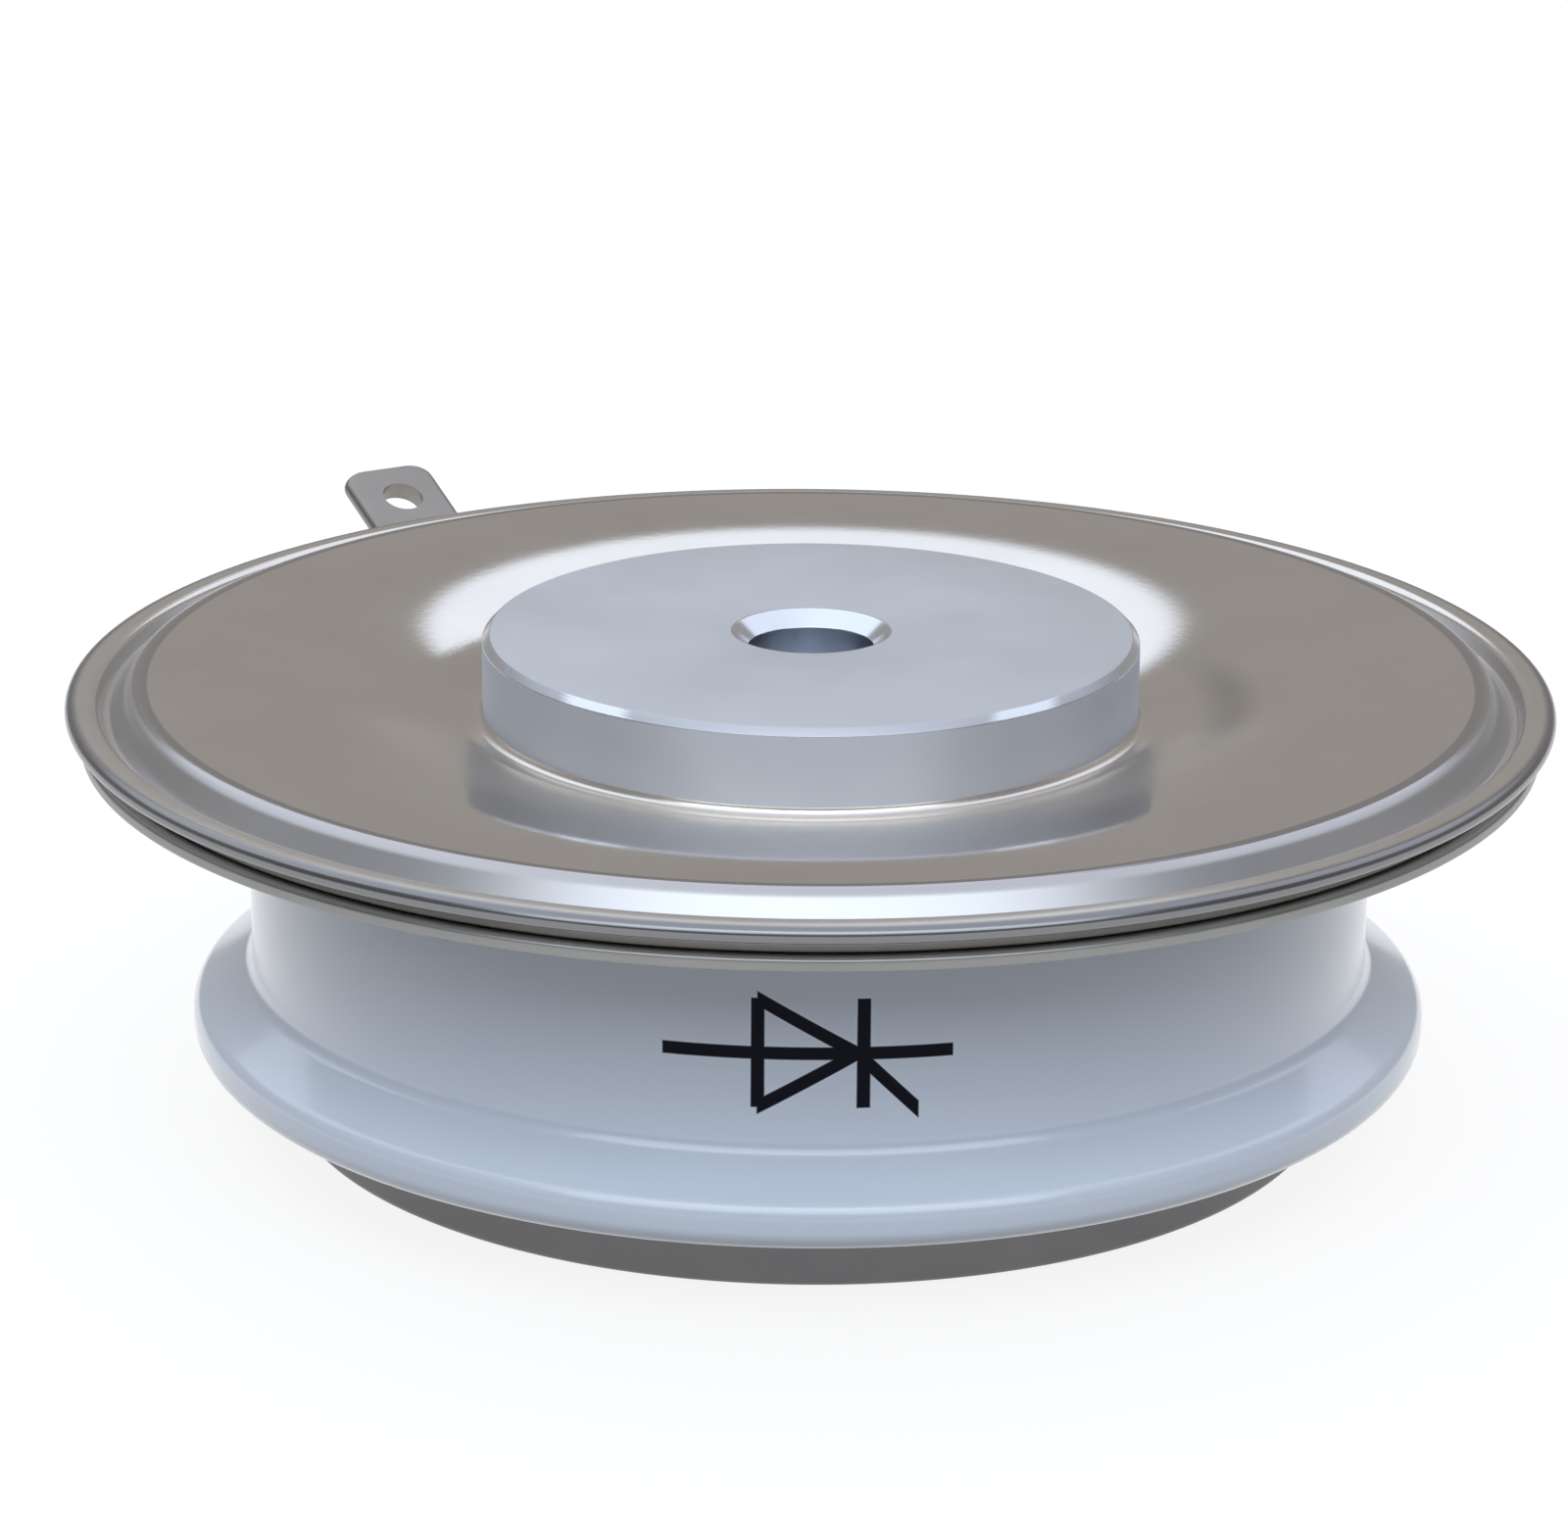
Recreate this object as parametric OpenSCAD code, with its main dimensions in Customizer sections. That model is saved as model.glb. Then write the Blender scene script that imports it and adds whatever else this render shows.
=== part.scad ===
// Disc thyristor: a silicon wafer clamped between two copper poles in a sealed ceramic capsule.
// The lower contact face lies at z = 0 and the axis of the capsule is the Z axis.

/* [Contact faces and poles] */
// Height between the two contact faces
total_h = 14; // [13.6:0.1:14.6]
// Diameter of both pole faces
pole_d = 18.6; // [17.6:0.1:19]
// Bevel round each pole face
pole_bevel = 0.2; // [0.1:0.02:0.5]
// Step on each pole that its flange seats on
pole_step = 0.5; // [0.3:0.05:0.7]
// Height of the inner face of the upper pole above the middle of the capsule
face_lift = 0.4; // [0.3:0.05:0.5]
// Diameter of the centring hole in each pole
centring_d = 3.56; // [3:0.02:4]
// Depth of the centring holes
centring_depth = 2; // [1.6:0.1:2.4]
// Width of the countersink at the mouth of each centring hole
centring_sink = 0.44; // [0.2:0.02:0.7]

/* [Lid and weld ring] */
// Diameter of the lid over its brim
lid_d = 42; // [41.2:0.1:43]
// Thickness of the lid sheet
lid_t = 0.46; // [0.36:0.02:0.54]
// Drop from the contact face to the lid at the pole
lid_foot_drop = 2.41; // [2.2:0.01:2.6]
// Drop from the contact face to the raised edge of the lid
lid_edge_drop = 1.06; // [0.9:0.01:1.2]
// Drop from the contact face to the inner edge of the brim
brim_drop = 1.44; // [1.35:0.01:1.55]
// Droop of the brim towards its lip
brim_droop = 0.1; // [0.04:0.01:0.14]
// Rounding of the raised edge of the lid
edge_ease = 0.5; // [0.3:0.02:0.56]
// Width of the rim outside the raised edge of the lid
rim_w = 2.05; // [1.9:0.05:2.4]
// Bulge of the dished face above a straight cone
dish_bulge = 0.28; // [0.15:0.01:0.4]
// Width of the flat seat of the lid round its pole
hub_w = 0.55; // [0.5:0.05:0.9]
// Gap left between the lip of the lid and the weld ring
weld_gap = 0.4; // [0.3:0.01:0.46]
// Width of the pressed weld groove
groove_w = 0.2; // [0.15:0.01:0.3]
// Distance of the edge of the weld ring inside the edge of the lid
ring_inset = 0.4; // [0.2:0.05:0.7]
// Thickness of the weld ring
ring_t = 0.38; // [0.3:0.02:0.5]

/* [Ceramic and lower flange] */
// Height of the foot of the ceramic above the lower contact face
ceramic_z = 2.35; // [2.2:0.05:2.45]
// Wall of the ceramic neck
ceramic_wall = 2.95; // [2.7:0.05:3.3]
// Distance that the rib stands out from the neck
rib_out = 1.7; // [1.4:0.05:2]
// Rounding of the lower corner of the rib
rib_low_r = 0.6; // [0.4:0.05:0.8]
// Rounding of the upper corner of the rib
rib_top_r = 0.55; // [0.35:0.05:0.7]
// Upright stretch on the rib between its roundings
rib_wall = 0.3; // [0.1:0.05:0.5]
// Slope of the shoulder above the rib
shoulder_slope = 30; // [22:1:38]
// Radius of the cove between shoulder and neck
cove_r = 0.6; // [0.3:0.05:0.9]
// Distance of the wall of the lower flange outside the bore of the ceramic
flange_set = 2; // [1.7:0.05:2.2]
// Width of the braze foot of the lower flange outside its wall
braze_foot_w = 1.2; // [0.8:0.1:1.5]
// Thickness of the lower flange sheet
flange_t = 0.45; // [0.36:0.02:0.5]
// Bend radius of the pressed sheets
bend_ease = 0.25; // [0.15:0.01:0.28]
// Height of the lowest part of the lower flange above the contact face
flange_clear = 0.3; // [0.25:0.05:0.45]

/* [Contact stack] */
// Thickness of each silver foil
foil_t = 0.1; // [0.06:0.02:0.16]
// Distance of the edge of the lower foil inside the edge of the pole
foil_inset = 0.2; // [0.1:0.05:0.5]
// Width of the molybdenum carrier disc outside the wafer
disc_margin = 0.5; // [0.45:0.05:0.7]
// Thickness of the molybdenum carrier disc
anode_disc_t = 2; // [1.8:0.05:2.2]
// Diameter of the silicon wafer at its base
wafer_d = 22; // [21.7:0.1:22.2]
// Thickness of the silicon wafer
wafer_t = 0.4; // [0.3:0.05:0.5]
// Width of the bevel round the wafer
wafer_bevel = 0.5; // [0.3:0.05:0.6]
// Thickness of the silicone bead outside the wafer
seal_over = 0.4; // [0.3:0.05:0.45]
// Width of the wafer left free round the upper contact disc
cathode_margin = 2; // [1.8:0.1:2.5]
// Thickness of the upper contact disc
cathode_disc_t = 0.8; // [0.6:0.05:0.9]
// Diameter of the hole for the gate in the upper disc and foil
gate_window_d = 3.2; // [2.6:0.1:3.6]
// Wall of the locating ring round the wafer
locating_wall = 1.25; // [1.1:0.05:1.5]
// Radial clearance of the parts that slide together
slide_gap = 0.05; // [0.03:0.01:0.1]

/* [Gate] */
// Direction of the gate terminal, measured round from +X
gate_azimuth = 121; // [90:1:150]
// Height of the gate tube above the face of the upper pole inside the capsule
gate_lift = 1; // [0.95:0.01:1.1]
// Distance of the bend of the gate tube inside the edge of the lid
gate_bend_in = 2.15; // [1.8:0.05:2.5]
// Upward angle of the gate terminal
gate_rise = 25; // [20:1:27]
// Distance of the end of the tab outside the edge of the lid
gate_out = 6; // [5.6:0.1:7]
// Outer diameter of the gate tube
tube_d = 2.2; // [2:0.05:2.3]
// Wall of the gate tube
tube_wall = 0.3; // [0.24:0.02:0.34]
// Centre line radius of the bend
bend_r = 3; // [2.4:0.1:3.6]
// Length of the flat tab
tab_len = 3; // [2.6:0.1:3.4]
// Length over which the tube runs into the tab
pinch_len = 1.6; // [1.2:0.1:2]
// Diameter of the eyelet in the tab
eyelet_d = 1.3; // [1:0.05:1.5]
// Rounding of the corners of the tab
tab_corner_r = 0.5; // [0.2:0.05:0.8]
// Wall of the ferrule round the tube
ferrule_wall = 0.45; // [0.35:0.05:0.6]
// Width of the collar of the ferrule outside its sleeve
ferrule_collar_w = 0.55; // [0.4:0.05:0.7]
// Thickness of the collar of the ferrule
ferrule_collar_t = 0.5; // [0.4:0.05:0.6]
// Diameter of the gate wire
lead_d = 0.8; // [0.6:0.05:0.9]
// Wall of the sleeve on the gate wire
sleeve_wall = 0.3; // [0.2:0.02:0.3]
// Diameter of the gate contact pin
contact_d = 1.2; // [1:0.05:1.4]
// Outer diameter of the insulating cup
cup_d = 5; // [4.8:0.1:5.4]
// Wall of the insulating cup
cup_wall = 0.7; // [0.6:0.05:0.8]
// Thickness of the head of the cup
cup_head = 0.5; // [0.4:0.05:0.6]
// Thickness of the collar of the gate contact
collar_t = 0.4; // [0.3:0.05:0.5]
// Height of one disc spring under load
spring_h = 0.35; // [0.3:0.01:0.4]
// Sheet thickness of one disc spring
spring_t = 0.14; // [0.1:0.01:0.16]
// Thickness of the thrust washer
washer_t = 0.2; // [0.15:0.01:0.25]

/* [Hidden] */
$fn = 96;

pole_r = pole_d / 2;
step_r = pole_r + pole_step;
lid_r = lid_d / 2;
lid_edge_r = lid_r - rim_w;

// Radii from the wafer outwards: the ring clears disc and seal, and the ceramic clears the ring
loose_gap = 0.1;
wafer_r = wafer_d / 2;
anode_disc_r = wafer_r + disc_margin;
disc_pocket_r = anode_disc_r + slide_gap;
seal_pocket_r = disc_pocket_r + loose_gap;
locating_r = seal_pocket_r + locating_wall;
bore_r = locating_r + loose_gap;
neck_r = bore_r + ceramic_wall;
rib_r = neck_r + rib_out;
cathode_disc_r = wafer_r - cathode_margin;

// Heights of the capsule, from the contact faces inwards
lid_foot_z = total_h - lid_foot_drop;
lid_edge_z = total_h - lid_edge_drop;
brim_z = total_h - brim_drop;
brim_under_z = brim_z - lid_t;
ring_top_z = brim_under_z - brim_droop - weld_gap;
ceramic_top_z = ring_top_z - ring_t;
seat_lift = 0.1;
anode_seat_z = ceramic_z + seat_lift;

// Section of the lower flange: the seat ends where the web starts to slope
flange_wall_r = bore_r + flange_set;
flange_floor_w = 1.8;
web_w = 1.75;
web_shift = 0.2;
web_out_r = flange_wall_r - flange_floor_w;
web_in_r = web_out_r - web_w;

// Heights of the contact stack, from the upper pole downwards
cathode_face_z = total_h / 2 + face_lift;
cathode_foil_z = cathode_face_z - foil_t;
wafer_top_z = cathode_foil_z - cathode_disc_t;
wafer_z = wafer_top_z - wafer_t;
anode_disc_z = wafer_z - anode_disc_t;
anode_pole_h = anode_disc_z - foil_t;
cathode_pole_h = total_h - cathode_face_z;

// Section of the dished face: a circular arc from the hub to the raised edge
hub_r = pole_r + hub_w;
dish_run = lid_edge_r - hub_r;
dish_lift = lid_edge_z - lid_foot_z;
dish_chord = norm([dish_run, dish_lift]);
dish_r = (dish_chord * dish_chord / 4 + dish_bulge * dish_bulge) / (2 * dish_bulge);
dish_tilt = atan2(dish_lift, dish_run);
dish_half = asin(dish_chord / 2 / dish_r);
dish_centre = [
    (hub_r + lid_edge_r) / 2 + sin(dish_tilt) * (dish_r - dish_bulge),
    (lid_foot_z + lid_edge_z) / 2 - cos(dish_tilt) * (dish_r - dish_bulge)
];

// Section of the rim: raised edge, step into the groove, groove and slope up to the brim
corner_w = 0.2;
step_w = 0.6;
brim_slope_w = 0.2;
corner_r = lid_edge_r + corner_w;
groove_in = corner_r + step_w;
groove_out = groove_in + groove_w;
brim_in = groove_out + brim_slope_w;
groove_z = ring_top_z + lid_t;
step_under = lid_t * tan(atan2(lid_edge_z - groove_z, step_w) / 2);
slope_under = lid_t * tan(atan2(brim_z - groove_z, brim_slope_w) / 2);

// Gate: the tube leaves level, bends up and ends in a pinched tab
gate_z = cathode_face_z + gate_lift;
tube_r = tube_d / 2;
tube_bore_r = tube_r - tube_wall;
tube_inside = 0.6;
tube_start = bore_r - tube_inside;
tab_t = 2 * tube_wall;
ferrule_r = tube_r + ferrule_wall;
ferrule_sink = 0.35;
collar_seat = neck_r - ferrule_sink;
collar_out = collar_seat + ferrule_collar_t;
gate_reach = lid_r + gate_out;
bend_start = max(lid_r - gate_bend_in - bend_r * tan(gate_rise / 2), collar_out + loose_gap);
bend_len = bend_r * gate_rise * PI / 180;
bend_end_x = bend_start + bend_r * sin(gate_rise);
bend_end_z = gate_z + bend_r * (1 - cos(gate_rise));
run_len = bend_len + (gate_reach - bend_end_x) / cos(gate_rise);
pinch_end = run_len - tab_len;
pinch_start = pinch_end - pinch_len;
eyelet_at = run_len - tab_len * 0.48;
lead_r = lead_d / 2;
sleeve_r = lead_r + sleeve_wall;

// Stations round the bend, after one inside the level run where the two are joined
bend_steps = 8;
lap_len = 0.3;
lap_inset = 0.12;
bend_stations = concat(
    [-lap_len], [for (i = [0.1:1:bend_steps + 0.1]) bend_len * min(i / bend_steps, 1)]
);

// Gate contact in the well of the upper pole
cup_r = cup_d / 2;
cup_bore_r = cup_r - cup_wall;
well_r = cup_r + slide_gap;
contact_r = contact_d / 2;
collar_z = gate_z + sleeve_r + loose_gap;
spring_z = collar_z + collar_t;
washer_z = spring_z + 2 * spring_h;
cup_ceiling_z = washer_z + washer_t;
well_top_z = cup_ceiling_z + cup_head;
spring_r = cup_bore_r - loose_gap;
spring_land = 0.15;

copper_grey = [0.74, 0.76, 0.80];
sheet_grey = [0.60, 0.58, 0.56];
weld_grey = [0.48, 0.48, 0.49];
ceramic_white = [0.86, 0.89, 0.94];
nickel_grey = [0.68, 0.66, 0.62];
silver_white = [0.90, 0.90, 0.88];
molybdenum_grey = [0.55, 0.56, 0.60];
silicon_blue = [0.30, 0.33, 0.42];
resin_white = [0.93, 0.92, 0.88];
rubber_red = [0.70, 0.32, 0.24];
spring_steel = [0.45, 0.46, 0.48];

// Points along an arc, so that round stretches of a section need no list of numbers
function arc(centre, radius, from, to, steps = 8) = [
    for (i = [0:steps])
        let (a = from + (to - from) * i / steps)
        centre + radius * [cos(a), sin(a)]
];

// Section with rounded corners: each corner is [radius, height, rounding]
function flat(p) = [p[0], p[1]];
function unit(v) = v / norm(v);
function sharp(points) = [for (p = points) [p[0], p[1], 0]];
function corner_arc(here, last, next, steps) =
    let (
        back = unit(flat(last) - flat(here)),
        ahead = unit(flat(next) - flat(here)),
        half = acos(back * ahead) / 2,
        centre = flat(here) + unit(back + ahead) * here[2] / sin(half),
        start = flat(here) + back * here[2] / tan(half) - centre,
        from = atan2(start[1], start[0])
    )
    arc(centre, here[2], from, from - sign(cross(back, ahead)) * (180 - 2 * half), steps);
function eased(corners, steps = 4) =
    let (n = len(corners))
    [
        for (i = [0:n - 1])
            each corners[i][2] == 0 ? [flat(corners[i])]
                : corner_arc(corners[i], corners[(i + n - 1) % n], corners[(i + 1) % n], steps)
    ];

// Flat ring between two radii
module washer(outer_r, inner_r, z, t) {
    translate([0, 0, z]) rotate_extrude() translate([inner_r, 0]) square([outer_r - inner_r, t]);
}

// Turned pole: a bevelled contact face at z = 0, a seat for the flange, and the wider inner end
module turned_pole(seat_z, length) {
    difference() {
        rotate_extrude() polygon([
            [0, 0], [pole_r - pole_bevel, 0], [pole_r, pole_bevel],
            [pole_r, seat_z], [step_r, seat_z], [step_r, length], [0, length]
        ]);
        centring_hole();
    }
}

// Blind centring hole with its countersunk mouth at z = 0
module centring_hole() {
    hole_r = centring_d / 2;
    translate([0, 0, -1]) cylinder(r = hole_r, h = centring_depth + 1);
    translate([0, 0, -1]) cylinder(r1 = hole_r + centring_sink + 1, r2 = hole_r, h = centring_sink + 1);
}

// Frame of the gate: x runs outward along the gate's direction, z stays up
module gate_frame() {
    rotate([0, 0, gate_azimuth]) children();
}

// Rising part of the gate, from the end of the bend: x runs along the tube
module rising_frame() {
    translate([bend_end_x, 0, bend_end_z]) rotate([0, -gate_rise, 0]) children();
}

// Half width of a pinched tube of half thickness b: its girth stays that of the round tube
function stadium_w(b) = b + PI * (tube_r - b) / 2;

// Point of the gate's centre line at a distance past the start of the bend, and its slope there
function run_slope(s) = s < 0 ? 0 : min(s / bend_len, 1) * gate_rise;
function run_point(s) =
    s < 0 ? [bend_start + s, gate_z]
    : s < bend_len ? [bend_start, gate_z] + bend_r * [sin(run_slope(s)), 1 - cos(run_slope(s))]
    : [bend_end_x, bend_end_z] + (s - bend_len) * [cos(gate_rise), sin(gate_rise)];

// Section across the gate at a distance s: two half rounds of radius b, set w apart
function run_ring(s, b, w, points) = [
    for (i = [0:points - 1])
        let (a = (i + 0.5) * 360 / points, up = b * sin(a))
        let (across = b * cos(a) + sign(cos(a)) * (w - b))
        [run_point(s)[0] - up * sin(run_slope(s)), across, run_point(s)[1] + up * cos(run_slope(s))]
];

// Half thickness of the pinched tube: round at first, easing to the flat tab
function pinched(s) =
    let (t = min(max((s - pinch_start) / pinch_len, 0), 1))
    tube_r - (tube_r - tab_t / 2) * t * t * (3 - 2 * t);

// Half width of the pinched tube, drawn in at the end to round the corners of the tab
function pinched_w(s) =
    let (over = max(s - (run_len - tab_corner_r), 0))
    stadium_w(pinched(s)) - tab_corner_r + sqrt(max(tab_corner_r * tab_corner_r - over * over, 0));

// A ring inside the level run is drawn in, so that it joins within the wall
function joined(s, size) = s < 0 ? size - lap_inset : size;

// Closed skin through a list of rings that have the same number of points
module loft(rings) {
    n = len(rings[0]);
    last = len(rings) - 1;
    sides = [
        for (j = [0:last - 1], i = [0:n - 1])
            let (a = j * n + i, b = j * n + (i + 1) % n)
            each [[a, b + n, b], [a, a + n, b + n]]
    ];
    ends = [[for (i = [0:n - 1]) i], [for (i = [n - 1:-1:0]) last * n + i]];
    polyhedron([for (ring = rings) each ring], concat(sides, ends));
}

// Solid rod or tube along x
module along_x(outer_r, inner_r, from, to) {
    translate([from, 0, 0]) rotate([0, 90, 0]) difference() {
        cylinder(r = outer_r, h = to - from);
        if (inner_r > 0) translate([0, 0, -1]) cylinder(r = inner_r, h = to - from + 2);
    }
}

// Round rod along the level run, the bend and the rising run, up to where the tube is pinched
module gate_rod(r, from, points) {
    stations = concat(bend_stations, [pinch_start]);
    translate([0, 0, gate_z]) along_x(r, 0, from, bend_start);
    loft([for (s = stations) run_ring(s, joined(s, r), joined(s, r), points)]);
}

// Disc spring section: it rests on its inner edge and lifts to its outer edge
module disc_spring() {
    inner_r = contact_r + loose_gap;
    rotate_extrude() polygon([
        [inner_r, 0], [inner_r + spring_land, 0], [spring_r, spring_h - spring_t],
        [spring_r, spring_h], [spring_r - spring_land, spring_h], [inner_r, spring_t]
    ]);
}

module anode_pole() {
    color(copper_grey) turned_pole(anode_seat_z, anode_pole_h);
}

module cathode_pole() {
    slot_r = sleeve_r + loose_gap;
    color(copper_grey) difference() {
        translate([0, 0, total_h]) mirror([0, 0, 1])
            turned_pole(lid_foot_drop + lid_t, cathode_pole_h);
        translate([0, 0, cathode_face_z - 1]) cylinder(r = well_r, h = well_top_z - cathode_face_z + 1);
        gate_frame() translate([0, 0, gate_z]) {
            along_x(slot_r, 0, 0, step_r + 1);
            translate([0, -slot_r, -gate_lift - 1]) cube([step_r + 1, 2 * slot_r, gate_lift + 1]);
        }
    }
}

// Pressed lid: flat hub, dished face, step down into the weld groove, and the brim
module cathode_flange() {
    hub_under_z = lid_foot_z - lid_t;
    lip_r = lid_t / 2;
    lip_centre = [lid_r - lip_r, brim_z - brim_droop - lip_r];
    fillet_r = 0.22;
    dish_in = 90 + dish_tilt + dish_half;
    dish_out = 90 + dish_tilt - dish_half;
    color(sheet_grey) rotate_extrude() polygon(eased(concat(
        [[pole_r, hub_under_z, 0], [hub_r, hub_under_z, 0]],
        sharp(arc(dish_centre, dish_r - lid_t, dish_in, dish_out + 0.8, 16)),
        [[corner_r - step_under, lid_edge_z - lid_t, edge_ease / 2]],
        [[groove_in - step_under, ring_top_z, bend_ease]],
        [[groove_out + slope_under, ring_top_z, bend_ease]],
        [[brim_in + slope_under, brim_under_z, bend_ease / 2]],
        sharp(arc(lip_centre, lip_r, -90, 90, 8)),
        [[brim_in, brim_z, bend_ease], [groove_out, groove_z, bend_ease / 2]],
        [[groove_in, groove_z, bend_ease / 2], [corner_r, lid_edge_z, edge_ease]],
        sharp(arc(dish_centre, dish_r, dish_out + 0.4, dish_in, 16)),
        sharp(arc([pole_r + fillet_r, lid_foot_z + fillet_r], fillet_r, 270, 180, 4))
    )));
}

// Flat ring under the lid, its outer edge eased
module weld_ring() {
    ring_r = lid_r - ring_inset;
    inner_r = bore_r + 0.4;
    ease = 0.12;
    color(weld_grey) rotate_extrude() polygon(eased([
        [inner_r, ceramic_top_z, 0], [ring_r, ceramic_top_z, ease],
        [ring_r, ring_top_z, ease], [inner_r, ring_top_z, 0]
    ]));
}

// Insulator: plain neck, sloping shoulder and rounded rib, with a hole for the gate ferrule
module ceramic_ring() {
    low_centre = [rib_r - rib_low_r, ceramic_z + rib_low_r];
    top_centre = [rib_r - rib_top_r, ceramic_z + rib_low_r + rib_wall];
    tangent = top_centre + rib_top_r * [sin(shoulder_slope), cos(shoulder_slope)];
    shoulder_z = tangent[1] + (tangent[0] - neck_r) * tan(shoulder_slope);
    cove_centre = [neck_r + cove_r, shoulder_z + cove_r * tan(45 - shoulder_slope / 2)];
    rim = 0.25;
    color(ceramic_white) difference() {
        rotate_extrude() polygon(concat(
            [[bore_r, ceramic_z]],
            arc(low_centre, rib_low_r, -90, 0, 8),
            arc(top_centre, rib_top_r, 0, 90 - shoulder_slope, 6),
            arc(cove_centre, cove_r, 270 - shoulder_slope, 180, 6),
            arc([neck_r - rim, ceramic_top_z - rim], rim, 0, 90, 3),
            [[bore_r, ceramic_top_z]]
        ));
        gate_frame() translate([0, 0, gate_z]) {
            along_x(ferrule_r, 0, bore_r - 1, neck_r + 1);
            along_x(ferrule_r + ferrule_collar_w + loose_gap, 0, collar_seat, neck_r + 1);
        }
    }
}

// Pressed lower flange: hub on the pole, sloping web, floor, upright wall and braze foot
module anode_flange() {
    floor_z = flange_clear;
    inside_r = flange_wall_r - flange_t;
    seat_under_z = anode_seat_z - flange_t;
    foot_under_z = ceramic_z - flange_t;
    foot_r = flange_wall_r + braze_foot_w;
    color(sheet_grey) rotate_extrude() polygon(eased([
        [pole_r, seat_under_z, 0], [web_in_r, seat_under_z, bend_ease],
        [web_out_r, floor_z, bend_ease], [flange_wall_r, floor_z, bend_ease],
        [flange_wall_r, foot_under_z, bend_ease], [foot_r, foot_under_z, bend_ease / 2],
        [foot_r, ceramic_z, 0], [inside_r, ceramic_z, bend_ease],
        [inside_r, floor_z + flange_t, bend_ease / 2],
        [web_out_r + web_shift, floor_z + flange_t, bend_ease],
        [web_in_r + web_shift, anode_seat_z, bend_ease], [pole_r, anode_seat_z, 0]
    ]));
}

module anode_foil() {
    color(silver_white) translate([0, 0, anode_pole_h]) cylinder(r = step_r - foil_inset, h = foil_t);
}

module anode_disc() {
    edge = 0.2;
    color(molybdenum_grey) translate([0, 0, anode_disc_z]) rotate_extrude() polygon([
        [0, 0], [anode_disc_r - edge, 0], [anode_disc_r, edge],
        [anode_disc_r, anode_disc_t], [0, anode_disc_t]
    ]);
}

module silicon_wafer() {
    color(silicon_blue) translate([0, 0, wafer_z])
        cylinder(r1 = wafer_r, r2 = wafer_r - wafer_bevel, h = wafer_t);
}

// Silicone bead over the bevelled edge of the wafer
module wafer_seal() {
    top_r = wafer_r - wafer_bevel;
    bead_in = top_r - 0.7;
    bead_out = wafer_r + seal_over;
    bead_r = 0.25;
    round_z = wafer_top_z + 0.2;
    color(rubber_red) rotate_extrude() polygon(concat(
        [[bead_in, wafer_top_z], [top_r, wafer_top_z], [wafer_r, wafer_z], [bead_out, wafer_z]],
        arc([bead_out - bead_r, round_z], bead_r, 0, 90, 4),
        arc([bead_in + bead_r, round_z], bead_r, 90, 180, 4)
    ));
}

module cathode_disc() {
    color(molybdenum_grey) washer(cathode_disc_r, gate_window_d / 2, wafer_top_z, cathode_disc_t);
}

module cathode_foil() {
    color(silver_white) washer(cathode_disc_r, gate_window_d / 2, cathode_foil_z, foil_t);
}

// Insulating ring on the lower flange: it centres the carrier disc and clears the seal
module locating_ring() {
    inner_r = step_r + slide_gap;
    edge = 0.3;
    top_z = wafer_top_z + edge;
    color(resin_white) rotate_extrude() polygon([
        [inner_r, anode_seat_z], [web_in_r + web_shift, anode_seat_z],
        [locating_r, anode_seat_z + 2 * edge], [locating_r, top_z - edge], [locating_r - edge, top_z],
        [seal_pocket_r, top_z], [seal_pocket_r, wafer_z],
        [disc_pocket_r, wafer_z], [disc_pocket_r, anode_disc_z], [inner_r, anode_disc_z]
    ]);
}

// Contact pin: its foot on the wafer, a collar under the springs and a guide stub above
module gate_contact() {
    tip = 0.15;
    collar_r = cup_bore_r - loose_gap;
    stub_z = washer_z - loose_gap;
    color(nickel_grey) rotate_extrude() polygon([
        [0, wafer_top_z], [contact_r - tip, wafer_top_z], [contact_r, wafer_top_z + tip],
        [contact_r, collar_z], [collar_r, collar_z], [collar_r, spring_z],
        [contact_r, spring_z], [contact_r, stub_z], [0, stub_z]
    ]);
}

module gate_spring_lower() {
    color(spring_steel) translate([0, 0, spring_z]) disc_spring();
}

module gate_spring_upper() {
    color(spring_steel) translate([0, 0, washer_z]) mirror([0, 0, 1]) disc_spring();
}

module gate_washer() {
    color(spring_steel) washer(spring_r, contact_r + loose_gap, washer_z, washer_t);
}

// Insulating cup: closed head up, one side notched for the gate wire
module gate_cup() {
    notch_r = sleeve_r + slide_gap;
    color(resin_white) difference() {
        rotate_extrude() polygon([
            [cup_bore_r, cathode_face_z], [cup_r, cathode_face_z], [cup_r, well_top_z], [0, well_top_z],
            [0, cup_ceiling_z], [cup_bore_r, cup_ceiling_z]
        ]);
        gate_frame() translate([0, 0, gate_z]) {
            along_x(notch_r, 0, 0, cup_r + 1);
            translate([0, -notch_r, -gate_lift - 1]) cube([cup_r + 1, 2 * notch_r, gate_lift + 1]);
        }
    }
}

// Gate wire: welded to the side of the contact and led to the pinched end of the tube
module gate_lead() {
    color(silver_white) difference() {
        gate_frame() gate_rod(lead_r, contact_r * 0.6, 16);
        translate([0, 0, gate_z - 1]) cylinder(r = contact_r, h = 2);
    }
}

module gate_sleeve() {
    color(resin_white) gate_frame() translate([0, 0, gate_z])
        along_x(sleeve_r, lead_r, cup_bore_r + loose_gap, bore_r + tube_inside);
}

// Bush brazed into the ceramic, with a collar in a flat on its outside
module gate_ferrule() {
    color(nickel_grey) gate_frame() translate([0, 0, gate_z]) {
        along_x(ferrule_r, tube_r, bore_r, collar_seat);
        along_x(ferrule_r + ferrule_collar_w, tube_r, collar_seat, collar_out);
    }
}

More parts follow.
